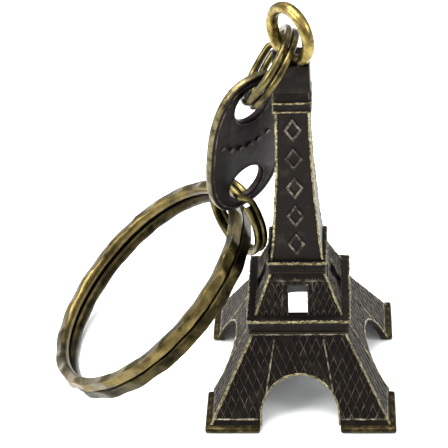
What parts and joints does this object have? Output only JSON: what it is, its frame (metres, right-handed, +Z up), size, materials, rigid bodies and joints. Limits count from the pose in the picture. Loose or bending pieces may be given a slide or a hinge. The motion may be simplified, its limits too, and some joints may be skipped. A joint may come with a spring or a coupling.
{
  "type": "keychain",
  "caption": "Keychain: a small lattice tower charm with an eyelet, joined by jump rings and a drilled oval tag to a split key ring.",
  "frame": {"origin": "middle of the four feet, on the plane that they stand on", "axes": "+Z up the tower, -Y towards the tower's front face, +X to its right; the chain and the key ring hang and lie on the -X side"},
  "size_m": [0.041, 0.0301, 0.0504],
  "materials": {
    "antique_bronze": "antique bronze plating on a zinc casting, blackened in the hollows and rubbed brassy on the ridges",
    "worn_brass": "the same plating rubbed back to bright brass, cast surface",
    "ring_wire": "drawn steel wire with antique brass plating, satin",
    "tag_plate": "cast tag with dark antique plating and a rubbed brassy rim",
    "key_ring_wire": "split ring wire with hammered flats, antique brass plating"
  },
  "bodies": {
    "tower": {"feet": "worn_brass", "base_tier": "antique_bronze", "lower_deck": "antique_bronze", "middle_tier": "antique_bronze", "upper_deck": "antique_bronze", "shaft": "antique_bronze", "shaft_lozenges": "worn_brass", "collar": "antique_bronze", "top_block": "antique_bronze", "eyelet": "worn_brass"},
    "upper_ring": {"upper_ring": "ring_wire"},
    "tag": {"tag": "tag_plate", "tag_dots": "tag_plate"},
    "lower_ring": {"lower_ring": "ring_wire"},
    "key_ring": {"key_ring": "key_ring_wire"}
  },
  "joints": [
    {"name": "upper_ring_swing", "type": "hinge", "parent": "tower", "child": "upper_ring", "pos_m": [0, 0, 0.04587], "axis": [0.0924, 0.9957, 0], "range_deg": [0, 45]},
    {"name": "tag_swing", "type": "hinge", "parent": "upper_ring", "child": "tag", "pos_m": [-0.00424, 0.00081, 0.0405], "axis": [0.7431, 0.6691, 0], "range_deg": [0, 15]},
    {"name": "lower_ring_swing", "type": "hinge", "parent": "tag", "child": "lower_ring", "pos_m": [-0.00609, 0.00287, 0.02377], "axis": [0.7431, 0.6691, 0], "range_deg": [-2, 60]},
    {"name": "key_ring_swing", "type": "hinge", "parent": "lower_ring", "child": "key_ring", "pos_m": [-0.00658, 0.00314, 0.01937], "axis": [0, 1, 0], "range_deg": [-20, 75]}
  ]
}
